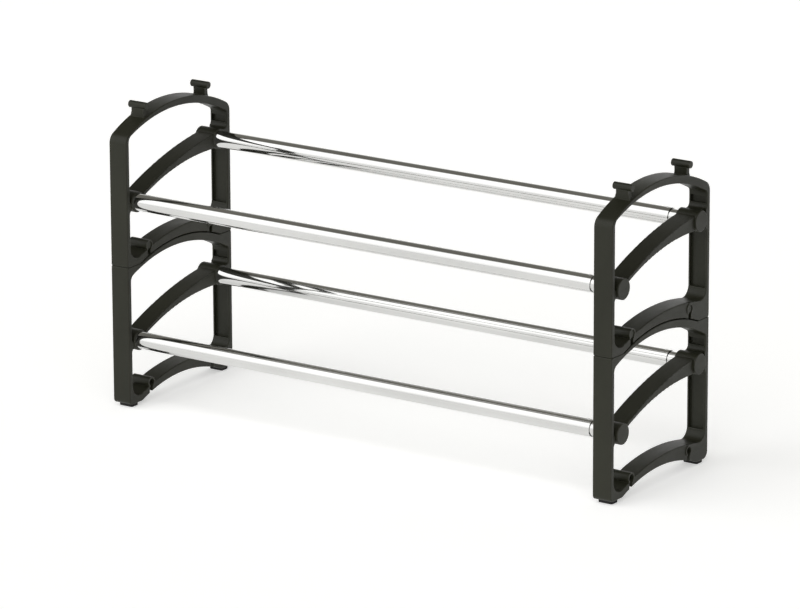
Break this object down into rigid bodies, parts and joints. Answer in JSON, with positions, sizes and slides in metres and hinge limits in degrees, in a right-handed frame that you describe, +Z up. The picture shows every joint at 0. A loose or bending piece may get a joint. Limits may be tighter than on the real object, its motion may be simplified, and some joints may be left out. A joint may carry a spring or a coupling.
{
  "type": "stackable extendable shoe rack",
  "caption": "Stackable shoe rack: moulded plastic end frames joined by telescopic chrome rails, low at the front and high at the back, tiers locked by T-headed pegs in keyholes.",
  "frame": {"origin": "middle of the footprint, on the surface the rack stands on", "axes": "+X along the rails to the right-hand frames, +Y from the low front rail to the high back rail, +Z up"},
  "size_m": [0.655, 0.192, 0.3395],
  "materials": {
    "frame_plastic": "fine moulded grain with a slight sheen",
    "tube_chrome": "bright plated",
    "glide_plastic": "smooth",
    "foot_rubber": "matt"
  },
  "bodies": {
    "lower_left": {"frame_lower_left": "frame_plastic", "outer_tube_lower_front": "tube_chrome", "outer_tube_lower_back": "tube_chrome", "foot_pad_left_front": "foot_rubber", "foot_pad_left_back": "foot_rubber"},
    "lower_right": {"frame_lower_right": "frame_plastic", "inner_tube_lower_front": "tube_chrome", "inner_tube_lower_back": "tube_chrome", "glide_lower_front": "glide_plastic", "glide_lower_back": "glide_plastic", "foot_pad_right_front": "foot_rubber", "foot_pad_right_back": "foot_rubber"},
    "upper_left": {"frame_upper_left": "frame_plastic", "outer_tube_upper_front": "tube_chrome", "outer_tube_upper_back": "tube_chrome"},
    "upper_right": {"frame_upper_right": "frame_plastic", "inner_tube_upper_front": "tube_chrome", "inner_tube_upper_back": "tube_chrome", "glide_upper_front": "glide_plastic", "glide_upper_back": "glide_plastic"}
  },
  "joints": [
    {"name": "lower_extension", "type": "slide", "parent": "lower_left", "child": "lower_right", "axis": [1, 0, 0], "range_m": [0, 0.5]},
    {"name": "stack_slide", "type": "slide", "parent": "lower_left", "child": "upper_left", "axis": [1, 0, 0], "range_m": [-0.03, 0.03]},
    {"name": "upper_extension", "type": "slide", "parent": "upper_left", "child": "upper_right", "axis": [1, 0, 0], "range_m": [0, 0.5]}
  ],
  "couplings": [
    {"joint": "upper_extension", "follows": "lower_extension", "ratio": 1}
  ]
}
